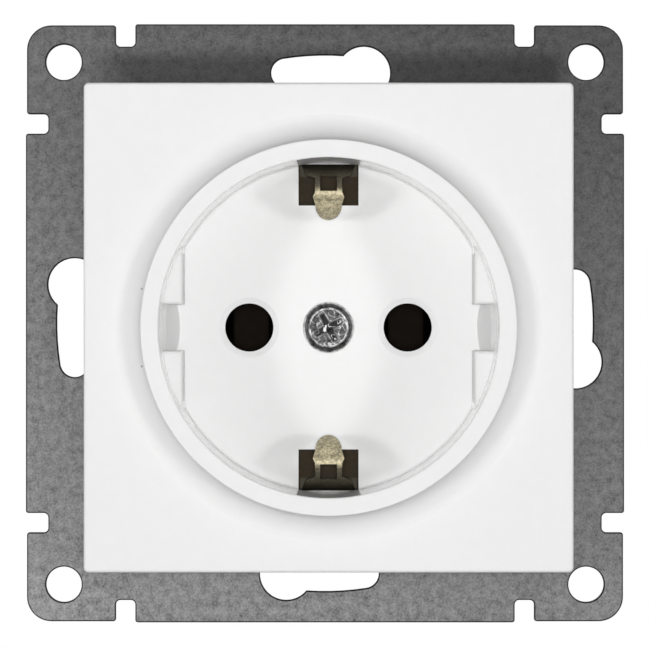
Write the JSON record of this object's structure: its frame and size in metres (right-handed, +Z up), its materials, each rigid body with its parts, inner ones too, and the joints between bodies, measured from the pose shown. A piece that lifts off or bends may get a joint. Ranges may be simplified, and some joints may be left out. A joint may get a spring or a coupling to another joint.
{
  "type": "type f wall socket",
  "caption": "Flush wall socket insert: square steel frame, white central plate with a round earthed well, and a dark base with screw terminals behind.",
  "frame": {"origin": "centre of the support frame's back, on the wall's surface", "axes": "+X to the right seen from the front, +Y into the wall, +Z up; the socket faces -Y"},
  "size_m": [0.0708, 0.0413, 0.0708],
  "materials": {
    "white_plastic": "satin moulded",
    "dark_moulding": "moulded, fine grain",
    "zinc_steel": "dull zinc plate",
    "screw_steel": "bright zinc plate",
    "nickel_brass": "nickel plated",
    "contact_brass": "bare, rolled"
  },
  "bodies": {
    "root": {"central_plate": "white_plastic", "centre_screw": "screw_steel", "support_frame": "zinc_steel", "frame_rivets": "nickel_brass", "base": "dark_moulding", "rear_cover": "dark_moulding", "rear_cover_screws": "screw_steel", "centre_nut": "zinc_steel", "earth_bracket": "nickel_brass", "earth_tab": "contact_brass", "earth_tab_rivet": "contact_brass", "live_contact": "contact_brass", "neutral_contact": "contact_brass", "live_terminal_cage": "zinc_steel", "live_clamp_plate": "zinc_steel", "live_terminal_screw": "screw_steel", "earth_terminal_cage": "zinc_steel", "earth_clamp_plate": "zinc_steel", "earth_terminal_screw": "screw_steel", "neutral_terminal_cage": "zinc_steel", "neutral_clamp_plate": "zinc_steel", "neutral_terminal_screw": "screw_steel"}
  },
  "joints": []
}
